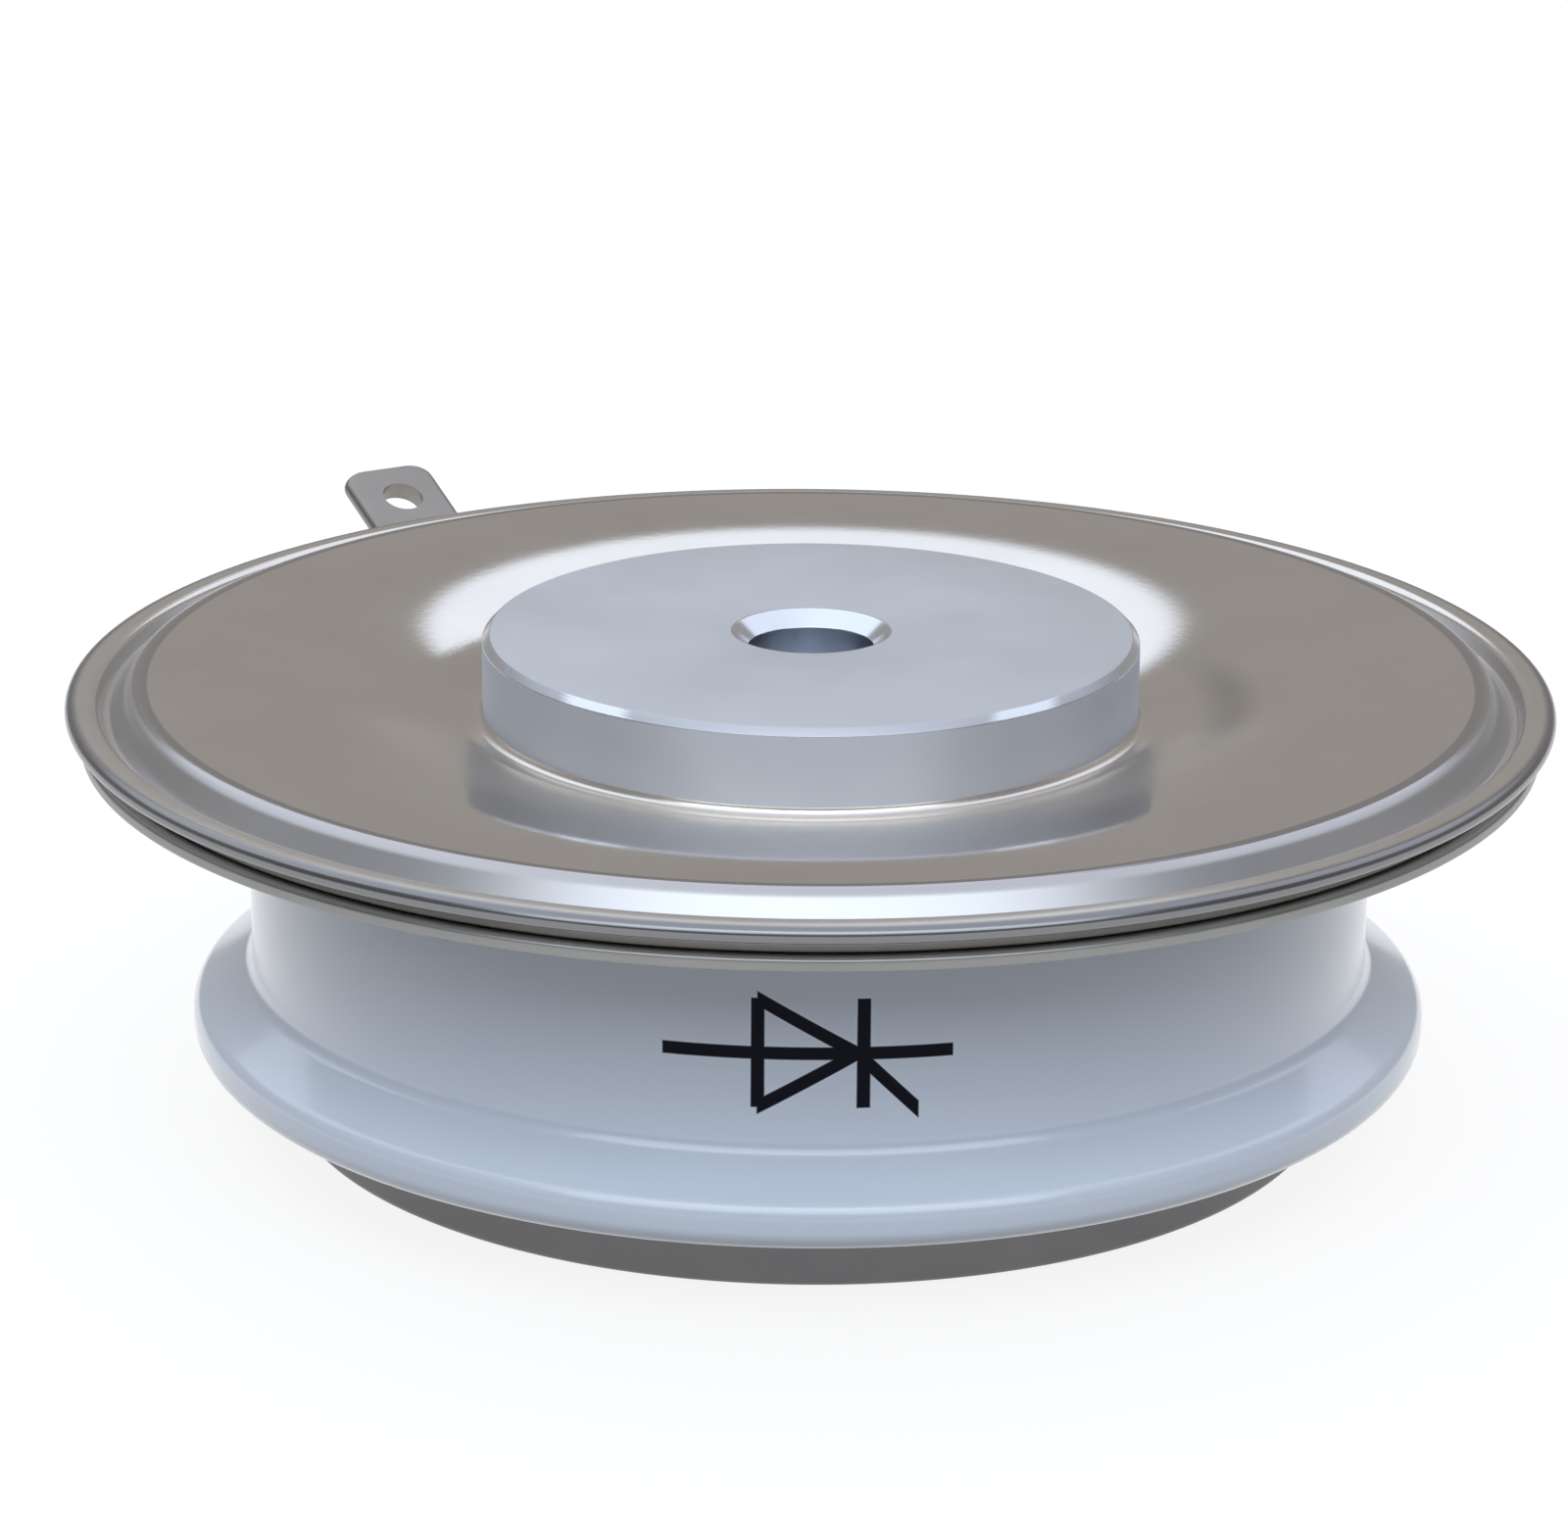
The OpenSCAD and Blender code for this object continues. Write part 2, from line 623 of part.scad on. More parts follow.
// Gate tube: level run, bend, rising run, pinch and flat tab with its eyelet
module gate_tube() {
    stations = concat(
        bend_stations,
        [for (i = [0:10]) pinch_start + pinch_len * i / 10],
        [for (i = [0:6]) run_len - tab_corner_r * (1 - sin(15 * i))]
    );
    color(nickel_grey) gate_frame() difference() {
        union() {
            translate([0, 0, gate_z]) along_x(tube_r, 0, tube_start, bend_start);
            loft([for (s = stations) run_ring(s, joined(s, pinched(s)), joined(s, pinched_w(s)), 28)]);
        }
        gate_rod(tube_bore_r, tube_start - 1, 20);
        rising_frame() translate([eyelet_at - bend_len, 0, -2]) cylinder(d = eyelet_d, h = 4);
    }
}

anode_pole();
anode_flange();
ceramic_ring();
weld_ring();
cathode_flange();
cathode_pole();
anode_foil();
anode_disc();
silicon_wafer();
wafer_seal();
cathode_disc();
cathode_foil();
locating_ring();
gate_contact();
gate_spring_lower();
gate_spring_upper();
gate_washer();
gate_cup();
gate_lead();
gate_sleeve();
gate_ferrule();
gate_tube();
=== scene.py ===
"""Looks of a disc thyristor capsule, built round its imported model."""
import math

import bmesh
import bpy
from mathutils import Matrix, Vector


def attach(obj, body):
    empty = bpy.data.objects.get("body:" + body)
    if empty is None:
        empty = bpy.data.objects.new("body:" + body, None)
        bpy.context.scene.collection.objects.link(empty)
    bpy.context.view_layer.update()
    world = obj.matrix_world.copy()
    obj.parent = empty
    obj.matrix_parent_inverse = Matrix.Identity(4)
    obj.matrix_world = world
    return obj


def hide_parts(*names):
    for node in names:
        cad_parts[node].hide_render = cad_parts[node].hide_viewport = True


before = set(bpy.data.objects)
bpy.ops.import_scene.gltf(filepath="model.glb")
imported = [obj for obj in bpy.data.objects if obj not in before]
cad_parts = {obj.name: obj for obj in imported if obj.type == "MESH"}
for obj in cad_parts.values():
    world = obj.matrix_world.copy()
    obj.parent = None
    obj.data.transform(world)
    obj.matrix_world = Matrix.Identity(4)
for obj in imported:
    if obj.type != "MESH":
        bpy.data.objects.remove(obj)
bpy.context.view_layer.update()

MM = 0.001
TURN_STEPS = 240
GRAIN_DEPTH = 0.004 * MM
POLE_R = 9.3
POLE_STEP_R = 9.8
HUB_R = POLE_R + 0.55
POLE_BEVEL = 0.2
TOP = 14.0
LID_R = 21.0
LID_T = 0.46
LID_FOOT = 11.59
LID_EDGE = 12.94
LID_EDGE_R = 18.95
BRIM = 12.56
BRIM_DROOP = 0.04
EDGE_EASE = 0.5
BEND = 0.25
RING_TOP = 11.6
CERAMIC_TOP = 11.22
CERAMIC_FOOT = 2.35
NECK_R = 15.95
RIB_R = 17.65
BORE_R = 13.0
HOLE_R = 1.78
SINK = 0.44
HOLE_DEPTH = 2.0
GATE_TURN = 121
GATE_RISE = 25
GATE_Z = 8.4
TUBE_R = 1.1
FERRULE_R = 1.55
COLLAR_R = 2.1
COLLAR_SEAT = 15.6
OUTWARD = [("Y", 90), Vector((0, 0, GATE_Z)), ("Z", GATE_TURN)]


class Wire:
    """A shader socket that takes part in sums: each sum adds a Math node."""

    def __init__(self, finish, socket):
        self.finish = finish
        self.socket = socket

    def __add__(self, other):
        return self.finish.maths("ADD", self, other)

    __radd__ = __add__

    def __sub__(self, other):
        return self.finish.maths("SUBTRACT", self, other)

    def __rsub__(self, other):
        return self.finish.maths("SUBTRACT", other, self)

    def __mul__(self, other):
        return self.finish.maths("MULTIPLY", self, other)

    __rmul__ = __mul__

    def __truediv__(self, other):
        return self.finish.maths("DIVIDE", self, other)

    def __rtruediv__(self, other):
        return self.finish.maths("DIVIDE", other, self)

    def __pow__(self, other):
        return self.finish.maths("POWER", self, other)

    def __abs__(self):
        return self.finish.maths("ABSOLUTE", self)


class Finish:
    """A node tree with one method that adds any node, and short forms built on it."""

    def __init__(self, tree):
        self.tree = tree

    def node(self, kind, settings=None, sockets=None, output=0):
        made = self.tree.nodes.new(kind)
        for name, value in (settings or {}).items():
            setattr(made, name, value)
        for name, value in (sockets or {}).items():
            if isinstance(value, Wire):
                self.tree.links.new(value.socket, made.inputs[name])
            else:
                made.inputs[name].default_value = value
        return Wire(self, made.outputs[output])

    def maths(self, operation, *values):
        return self.node("ShaderNodeMath", {"operation": operation}, dict(enumerate(values)))

    def between(self, value, low, high):
        """0 up to low, 1 from high on, and a soft step between."""
        return self.node(
            "ShaderNodeMapRange", {"interpolation_type": "SMOOTHSTEP"},
            {"Value": value, "From Min": low, "From Max": high})

    def band(self, value, centre, half, soft):
        """1 within half of the centre and 0 outside, with soft sides."""
        return 1 - self.between(abs(value - centre), half, half + soft)

    def mix(self, factor, first, second):
        """Colour mix; the colours are wires or RGB values."""
        settings = {"data_type": "RGBA"}
        first = first if isinstance(first, Wire) else (*first, 1.0)
        second = second if isinstance(second, Wire) else (*second, 1.0)
        return self.node("ShaderNodeMix", settings, {0: factor, 6: first, 7: second}, 2)

    def noise(self, where, scale, detail=4.0, roughness=0.55):
        """Cloudy pattern from 0 to 1 about 0.5; scale is in waves per metre."""
        sockets = {"Vector": where, "Scale": scale, "Detail": detail, "Roughness": roughness}
        return self.node("ShaderNodeTexNoise", {}, sockets)


class Material(Finish):
    """A Principled material that reads the piece's own place."""

    def __init__(self, name):
        self.material = bpy.data.materials.new(name)
        self.material.use_nodes = True
        super().__init__(self.material.node_tree)
        self.shader = self.tree.nodes["Principled BSDF"]
        self.place = self.node("ShaderNodeTexCoord", {}, {}, 3)
        self.x = self.node("ShaderNodeSeparateXYZ", {}, {0: self.place})
        parts = self.x.socket.node.outputs
        self.y = Wire(self, parts[1])
        self.z = Wire(self, parts[2])

    def set(self, **sockets):
        names = {name.replace("_", " "): value for name, value in sockets.items()}
        for name, value in names.items():
            if isinstance(value, Wire):
                self.tree.links.new(value.socket, self.shader.inputs[name])
            else:
                self.shader.inputs[name].default_value = value

    def radius(self):
        """Distance from the axis of the capsule, in millimetres."""
        return (self.x * self.x + self.y * self.y) ** 0.5 / MM

    def height(self):
        """Height over the lower contact face, in millimetres."""
        return self.z / MM

    def polar(self, around, out, up):
        """Place along the turn, out from the axis and up, each scaled, in millimetres."""
        turn = self.maths("ARCTAN2", self.y, self.x)
        sockets = {0: turn * around, 1: self.radius() * out, 2: self.height() * up}
        return self.node("ShaderNodeCombineXYZ", {}, sockets)

    def bump(self, height, depth, strength=1.0):
        """Fine relief: the height runs from 0 to 1 and depth is in metres."""
        sockets = {"Height": height, "Distance": depth, "Strength": strength}
        self.set(Normal=self.node("ShaderNodeBump", {}, sockets))


def lid_finish():
    """Pressed sheet: warm grey with a drawn grain, a dull zone with a painted warm reflection, a
    painted shade beside the hub, and painted shade on the ridge, step and lip.
    """
    m = Material("lid_sheet")
    dull_in, dull_out, painted_crease_shade_r = 11.5, 15.0, 11.9
    r, across, back = m.radius(), m.x / MM, m.y / MM
    cloud = m.noise(m.place, 260.0, 6.0, 0.65)
    grain = m.noise(m.polar(40.0, 5.0, 5.0), 1.0, 5.0, 0.6)
    lip = m.between(r, LID_R - 0.4, LID_R - 0.15)
    rim = m.between(r, LID_EDGE_R - 0.25, LID_EDGE_R + 0.15)
    painted_ridge_shade = m.band(r, LID_EDGE_R, 0.2, 0.1)
    step = m.band(r, LID_EDGE_R + 0.5, 0.3, 0.08)
    # Dull zone in front of the hub; its tone is also painted warmer, a painted reflection.
    dull_zone_painted_reflection = m.between(0 - back, 0.0, 4.0) * (1 - m.between(r, dull_in, dull_out))
    # Painted shade: a dark patch on the dish beside the hub, on the right side only, where a crease
    # would shade it.
    painted_crease_shade = m.band(r, painted_crease_shade_r, 0.0, 1.1) * m.band(back, -0.6, 1.2, 4.6)
    painted_crease_shade = painted_crease_shade * m.between(across, 0.0, 6.0)
    tone = m.mix(cloud, (0.67, 0.645, 0.62), (0.79, 0.77, 0.75))
    # Painted reflection: the dull zone is toned warmer.
    tone = m.mix(dull_zone_painted_reflection * 0.7, tone, (0.745, 0.70, 0.65))
    # Painted shade beside the hub.
    tone = m.mix(painted_crease_shade * 0.4, tone, (0.25, 0.24, 0.23))
    # Painted shade: the ridge, step and lip are toned darker to dim their reflections.
    tone = m.mix(painted_ridge_shade, tone, (0.46, 0.45, 0.47))
    tone = m.mix(step, tone, (0.46, 0.458, 0.468))
    tone = m.mix(lip, tone, (0.24, 0.24, 0.25))
    rough = 0.04 + cloud * 0.03 + grain * 0.02
    rough = rough + rim * 0.11 + lip * 0.05 + dull_zone_painted_reflection * 0.2 + step * 0.16
    m.set(Base_Color=tone, Metallic=1.0, Roughness=rough)
    m.bump(grain, GRAIN_DEPTH, 0.2)
    return m.material


def pole_finish():
    """Nickel plated copper: lapped dull on the face and side, smoother on bevel and countersink; the
    side is painted lighter in the middle and darker to both sides, and the bevel is painted darker
    between its glints.
    """
    m = Material("pole_plating")
    sink_r, bevel_foot = HOLE_R + SINK, TOP - POLE_BEVEL
    r, z = m.radius(), m.height()
    cloud = m.noise(m.place, 220.0)
    laps = m.noise(m.polar(3.0, 30.0, 30.0), 1.0, 3.0, 0.5)
    side = m.between(r, POLE_R - 0.25, POLE_R - 0.18)
    sink = 1 - m.between(r, sink_r + 0.03, sink_r + 0.08)
    bevel = side * m.between(z, bevel_foot - 0.06, bevel_foot)
    flank = side - bevel
    across = abs(m.x) / MM + laps * 0.8
    # Painted shade: the bevel is toned darker everywhere but at the glints, which keep the plain tone
    # and a smoother skin.
    glint = m.band(across, 6.2, 0.6, 0.5) + m.band(across, 9.4, 0.4, 0.3)
    painted_bevel_shade = bevel * (1 - glint)
    smooth = m.maths("MAXIMUM", bevel - painted_bevel_shade, sink)
    tone = m.mix(cloud, (0.68, 0.715, 0.78), (0.73, 0.767, 0.83))
    # Painted light and shade: the side is lighter near the middle and darker towards both sides.
    painted_side_shade = m.between(across, 6.5, 9.0)
    flank_tone = m.mix(painted_side_shade, (0.58, 0.602, 0.648), (0.46, 0.477, 0.515))
    tone = m.mix(flank, tone, flank_tone)
    # Painted shade on the bevel between the glints.
    tone = m.mix(painted_bevel_shade, tone, (0.45, 0.465, 0.505))
    rough = 0.34 + cloud * 0.1 - smooth * 0.2 + flank * 0.16
    m.set(Base_Color=tone, Metallic=1.0, Roughness=rough)
    m.bump(laps, GRAIN_DEPTH, 0.3)
    return m.material


def weld_finish():
    """Dull plated weld ring."""
    m = Material("weld_plating")
    cloud = m.noise(m.place, 300.0)
    tone = m.mix(cloud, (0.26, 0.26, 0.255), (0.34, 0.34, 0.335))
    m.set(Base_Color=tone, Metallic=1.0, Roughness=0.3 + cloud * 0.12)
    return m.material


def circuit_symbol(m):
    """Mask of the plain circuit symbol of a gated rectifier on the front of the neck."""
    ink, soft, half, tall = 0.16, 0.05, 1.3, 1.5
    middle_z, lead, gate = 7.3, 3.8, 0.8
    along = m.maths("ARCTAN2", m.x, 0 - m.y) * NECK_R
    up = m.height() - middle_z
    mask = m.band(up, 0, ink, soft) * m.band(along, 0, lead, soft)
    sides = m.band(abs(up), (half - along) * tall / half / 2, ink * 1.15, soft)
    strokes = [
        sides * m.band(along, 0, half, soft),
        m.band(along, -half, ink, soft) * m.band(up, 0, tall, soft),
        m.band(along, half + ink, ink, soft) * m.band(up, 0, tall, soft),
        m.band(up, half - along, ink * 1.4, soft) * m.band(along, half + gate, gate, soft),
    ]
    for stroke in strokes:
        mask = m.maths("MAXIMUM", mask, stroke)
    return mask * m.band(m.radius(), NECK_R, 0.2, 0.1)


def glaze_finish():
    """White glazed ceramic with a slight blue cast and one mark in black ink."""
    m = Material("white_glaze")
    cloud = m.noise(m.place, 160.0)
    tone = m.mix(cloud, (0.71, 0.78, 0.89), (0.76, 0.825, 0.93))
    ink = circuit_symbol(m)
    tone = m.mix(ink, tone, (0.01, 0.011, 0.016))
    m.set(Base_Color=tone, Metallic=ink, Roughness=0.3 + ink * 0.3, Coat_Weight=1 - ink)
    m.set(Coat_Roughness=0.12)
    return m.material


def plain_finish(name, dark, light, metallic, roughness):
    """Finish of the lower flange, the gate and the inner pieces: a tone with a slight cloud in it."""
    m = Material(name)
    cloud = m.noise(m.place, 400.0)
    tone = m.mix(cloud, dark, light)
    m.set(Base_Color=tone, Metallic=metallic, Roughness=roughness + cloud * 0.1)
    return m.material


def dress(node, material):
    """Give a node of the model its finish."""
    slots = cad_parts[node].data.materials
    slots.clear()
    slots.append(material)


LID = lid_finish()
POLE = pole_finish()
WELD = weld_finish()
GLAZE = glaze_finish()
# Painted shade: the lower flange is toned very dark, standing in for the shade under the rib.
FLANGE_IN_PAINTED_SHADE = plain_finish("dull_flange_painted_shade", (0.13, 0.13, 0.135), (0.18, 0.178, 0.18), 1.0, 0.35)
GATE = plain_finish("gate_nickel", (0.24, 0.222, 0.208), (0.34, 0.318, 0.30), 1.0, 0.3)


def arc(centre, radius, start, sweep, steps):
    """Points round a centre, from the start angle on by the sweep, in degrees."""
    points = []
    for i in range(steps + 1):
        angle = math.radians(start + sweep * i / steps)
        points.append(Vector(centre) + radius * Vector((math.cos(angle), math.sin(angle))))
    return points


def sharp(points):
    """Section points that stay as they are."""
    return [(point[0], point[1], 0) for point in points]


def eased(corners, steps=7):
    """Section points from corners (radius, height, rounding), with an arc at each rounding."""
    points = []
    for i, (r, z, ease) in enumerate(corners):
        here = Vector((r, z))
        if ease == 0:
            points.append(here)
            continue
        back = (Vector(corners[i - 1][:2]) - here).normalized()
        ahead = (Vector(corners[(i + 1) % len(corners)][:2]) - here).normalized()
        half = back.angle(ahead) / 2
        centre = here + (back + ahead).normalized() * ease / math.sin(half)
        start = here + back * ease / math.tan(half) - centre
        side = 1 if back.x * ahead.y - back.y * ahead.x > 0 else -1
        sweep = -side * (180 - math.degrees(2 * half))
        points += arc(centre, ease, math.degrees(math.atan2(start.y, start.x)), sweep, steps)
    return points


def turned(name, section, steps=TURN_STEPS):
    """A closed section drawn point by point in millimetres and spun round the axis."""
    bpy.ops.object.select_all(action="DESELECT")
    bpy.ops.mesh.primitive_plane_add(size=MM)
    piece = bpy.context.object
    piece.name = name
    bpy.ops.object.mode_set(mode="EDIT")
    bpy.ops.mesh.merge(type="CENTER")
    reached = Vector((0, 0, 0))
    for i, (r, z) in enumerate([*section, section[0]]):
        step = Vector((r, 0, z)) * MM - reached
        if i == 0:
            bpy.ops.transform.translate(value=step)
        else:
            bpy.ops.mesh.extrude_region_move(TRANSFORM_OT_translate={"value": step})
        reached += step
    bpy.ops.mesh.select_all(action="SELECT")
    bpy.ops.mesh.spin(steps=steps, angle=2 * math.pi, center=(0, 0, 0), axis=(0, 0, 1))
    bpy.ops.mesh.select_all(action="SELECT")
    bpy.ops.mesh.remove_doubles(threshold=0.002 * MM)
    bpy.ops.mesh.normals_make_consistent(inside=False)
    bpy.ops.object.mode_set(mode="OBJECT")
    return piece


def laid(piece, steps):
    """Turn and move all of a piece: each step is an axis and degrees, or a move in millimetres."""
    bpy.ops.object.select_all(action="DESELECT")
    piece.select_set(True)
    bpy.context.view_layer.objects.active = piece
    bpy.ops.object.mode_set(mode="EDIT")
    bpy.ops.mesh.select_all(action="SELECT")
    for step in steps:
        if isinstance(step, Vector):
            bpy.ops.transform.translate(value=step * MM)
        else:
            turn = math.radians(step[1])
            bpy.ops.transform.rotate(value=-turn, orient_axis=step[0], center_override=(0, 0, 0))
    bpy.ops.object.mode_set(mode="OBJECT")
    return piece


def rod(name, radius, start, length, steps):
    """Cylinder from a start along +Z, then laid."""
    bpy.ops.object.select_all(action="DESELECT")
    bpy.ops.mesh.primitive_cylinder_add(vertices=64, radius=radius * MM, depth=length * MM)
    piece = bpy.context.object
    piece.name = name
    return laid(piece, [Vector((0, 0, start + length / 2)), *steps])


def cut(piece, cutter):
    """Take the cutter's shape out of the piece."""
    bpy.ops.object.select_all(action="DESELECT")
    bpy.context.view_layer.objects.active = piece
    saw = piece.modifiers.new("cut", "BOOLEAN")
    saw.operation = "DIFFERENCE"
    saw.solver = "EXACT"
    saw.object = cutter
    bpy.ops.object.modifier_apply(modifier=saw.name)
    bpy.data.objects.remove(cutter)
    return piece


def finished(piece, node, material, crease=32):
    """Smooth the skin, give the finish, and let the piece stand for its node."""
    bpy.ops.object.select_all(action="DESELECT")
    piece.select_set(True)
    bpy.context.view_layer.objects.active = piece
    bpy.ops.object.shade_smooth_by_angle(angle=math.radians(crease))
    piece.data.materials.clear()
    piece.data.materials.append(material)
    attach(piece, "root")
    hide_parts(node)


def dish(offset, steps, trim):
    """Arc of the dished face from the raised edge in to the hub, moved along its normal."""
    bulge = 0.28
    chord = Vector((LID_EDGE_R - HUB_R, LID_EDGE - LID_FOOT))
    radius = (chord.length_squared / 4 + bulge ** 2) / (2 * bulge)
    tilt = math.degrees(math.atan2(chord.y, chord.x))
    half = math.degrees(math.asin(chord.length / 2 / radius))
    middle = Vector((HUB_R, LID_FOOT)) + chord / 2
    centre = middle + Vector((chord.y, -chord.x)).normalized() * (radius - bulge)
    return arc(centre, radius + offset, 90 + tilt - half + trim, 2 * half - trim, steps)


def lid():
    """Pressed lid: foot fillet, flat hub, dished face, sloping step, weld groove and brim."""
    lip, foot_ease = LID_T / 2, 0.22
    foot_r = POLE_R + foot_ease
    step_r, groove_in = LID_EDGE_R + 0.2, LID_EDGE_R + 0.8
    groove_out = groove_in + 0.2
    brim_in = groove_out + 0.2
    groove_z, lip_z = RING_TOP + LID_T, BRIM - BRIM_DROOP
    step_slope = math.atan2(LID_EDGE - groove_z, groove_in - step_r)
    rise_slope = math.atan2(BRIM - groove_z, brim_in - groove_out)
    step_under = LID_T * math.tan(step_slope / 2)
    rise_under = LID_T * math.tan(rise_slope / 2)
    under = list(reversed(dish(-LID_T, 20, 0.8)))
    section = eased([
        (POLE_R, LID_FOOT - LID_T, 0), (HUB_R, LID_FOOT - LID_T, 0),
        *sharp(under[1:]),
        (step_r - step_under, LID_EDGE - LID_T, EDGE_EASE / 2),
        (groove_in - step_under, RING_TOP, BEND),
        (groove_out + rise_under, RING_TOP, BEND),
        (brim_in + rise_under, BRIM - LID_T, BEND / 2),
        *sharp(arc((LID_R - lip, lip_z - lip), lip, -90, 180, 12)),
        (brim_in, BRIM, BEND), (groove_out, groove_z, BEND / 2),
        (groove_in, groove_z, BEND / 2), (step_r, LID_EDGE, EDGE_EASE),
        *sharp(dish(0, 36, 0.4)[:-1]),
        (HUB_R, LID_FOOT, 0.8), (foot_r, LID_FOOT, 0),
        *sharp(arc((foot_r, LID_FOOT + foot_ease), foot_ease, 270, -90, 6)[1:]),
    ])
    finished(turned("lid", section), "cathode_flange", LID)


def upper_pole():
    """Upper pole: lapped face with an eased bevel, countersunk hole, seat and gate well."""
    well_r, well_top, face = 2.55, 11.0, 7.4
    section = eased([
        (0, TOP - HOLE_DEPTH, 0), (HOLE_R, TOP - HOLE_DEPTH, 0),
        (HOLE_R, TOP - SINK, 0.03), (HOLE_R + SINK, TOP, 0.04),
        (POLE_R - POLE_BEVEL, TOP, 0.05), (POLE_R, TOP - POLE_BEVEL, 0.05),
        (POLE_R, LID_FOOT - LID_T, 0), (POLE_STEP_R, LID_FOOT - LID_T, 0),
        (POLE_STEP_R, face, 0), (well_r, face, 0), (well_r, well_top, 0), (0, well_top, 0),
    ])
    finished(turned("upper_pole", section), "cathode_pole", POLE, 20)


def weld_ring():
    """Flat ring under the lid with eased edges."""
    ring_r, inner_r, ease = LID_R - 0.4, BORE_R + 0.4, 0.12
    section = eased([
        (inner_r, CERAMIC_TOP, 0), (ring_r, CERAMIC_TOP, ease),
        (ring_r, RING_TOP, ease), (inner_r, RING_TOP, 0),
    ])
    finished(turned("weld_ring_plate", section), "weld_ring", WELD)


def insulator():
    """Glazed ring: neck, cove, sloping shoulder and rounded rib."""
    low_r, top_r, wall, slope, cove = 0.6, 0.55, 0.3, 30, 0.6
    low = (RIB_R - low_r, CERAMIC_FOOT + low_r)
    top = (RIB_R - top_r, CERAMIC_FOOT + low_r + wall)
    lean = math.radians(slope)
    tangent = Vector(top) + top_r * Vector((math.sin(lean), math.cos(lean)))
    shoulder = tangent.y + (tangent.x - NECK_R) * math.tan(lean)
    bend = (NECK_R + cove, shoulder + cove * math.tan(math.radians(45 - slope / 2)))
    section = eased([
        (BORE_R, CERAMIC_FOOT, 0),
        *sharp(arc(low, low_r, -90, 90, 14)),
        *sharp(arc(top, top_r, 0, 90 - slope, 12)),
        *sharp(arc(bend, cove, 270 - slope, slope - 90, 12)),
        (NECK_R, CERAMIC_TOP, 0.25), (BORE_R, CERAMIC_TOP, 0),
    ])
    piece = turned("insulator", section)
    cut(piece, rod("hole", FERRULE_R, BORE_R - 2, 6, OUTWARD))
    cut(piece, rod("spot_face", COLLAR_R + 0.1, COLLAR_SEAT, 4, OUTWARD))
    finished(piece, "ceramic_ring", GLAZE)


def lower_flange():
    """Pressed lower flange: hub, sloping web, floor, wall and braze foot."""
    wall_r, sheet, floor, seat = BORE_R + 2.0, 0.45, 0.3, CERAMIC_FOOT + 0.1
    inside, web_out = wall_r - sheet, wall_r - 1.8
    web_in, foot_r = web_out - 1.75, wall_r + 1.2
    section = eased([
        (POLE_R, seat - sheet, 0), (web_in, seat - sheet, BEND), (web_out, floor, BEND),
        (wall_r, floor, BEND), (wall_r, CERAMIC_FOOT - sheet, BEND),
        (foot_r, CERAMIC_FOOT - sheet, BEND / 2), (foot_r, CERAMIC_FOOT, 0),
        (inside, CERAMIC_FOOT, BEND), (inside, floor + sheet, BEND / 2),
        (web_out + 0.2, floor + sheet, BEND), (web_in + 0.2, seat, BEND), (POLE_R, seat, 0),
    ])
    finished(turned("lower_flange", section), "anode_flange", FLANGE_IN_PAINTED_SHADE)


def ferrule():
    """Braze ferrule of the gate tube: a sleeve with a collar on the neck."""
    section = eased([
        (TUBE_R, BORE_R, 0), (FERRULE_R, BORE_R, 0), (FERRULE_R, COLLAR_SEAT, 0),
        (COLLAR_R, COLLAR_SEAT, 0), (COLLAR_R, COLLAR_SEAT + 0.5, 0.05),
        (TUBE_R, COLLAR_SEAT + 0.5, 0),
    ])
    piece = laid(turned("ferrule", section, 96), OUTWARD)
    finished(piece, "gate_ferrule", GATE)


def side_of(side, shift):
    """Move the selected points on one side of the gate's middle plane across it."""
    mesh = bmesh.from_edit_mesh(bpy.context.object.data)
    ring = [vert for vert in mesh.verts if vert.select]
    for vert in ring:
        vert.select_set(vert.co.y * side > 0)
    mesh.select_flush_mode()
    bpy.ops.transform.translate(value=(0, side * shift * MM, 0))
    for vert in ring:
        vert.select_set(True)
    mesh.select_flush(True)


def gate_stations(rising, tab):
    """Sections of the rising run (place, half thickness, half width), through pinch and tab."""
    pinch, corner, half_t = 1.6, 0.5, 0.3
    pinch_steps, corner_steps = 10, 6
    neck = rising - tab - pinch
    stations = [(neck, TUBE_R, TUBE_R)]
    for i in range(1, pinch_steps + 1):
        part = i / pinch_steps
        thick = TUBE_R - (TUBE_R - half_t) * part ** 2 * (3 - 2 * part)
        wide = thick + math.pi * (TUBE_R - thick) / 2
        stations.append((neck + pinch * part, thick, wide))
    for i in range(corner_steps + 1):
        turn = math.radians(90 * i / corner_steps)
        narrow = wide - corner * (1 - math.cos(turn))
        stations.append((rising - corner * (1 - math.sin(turn)), half_t, narrow))
    return stations


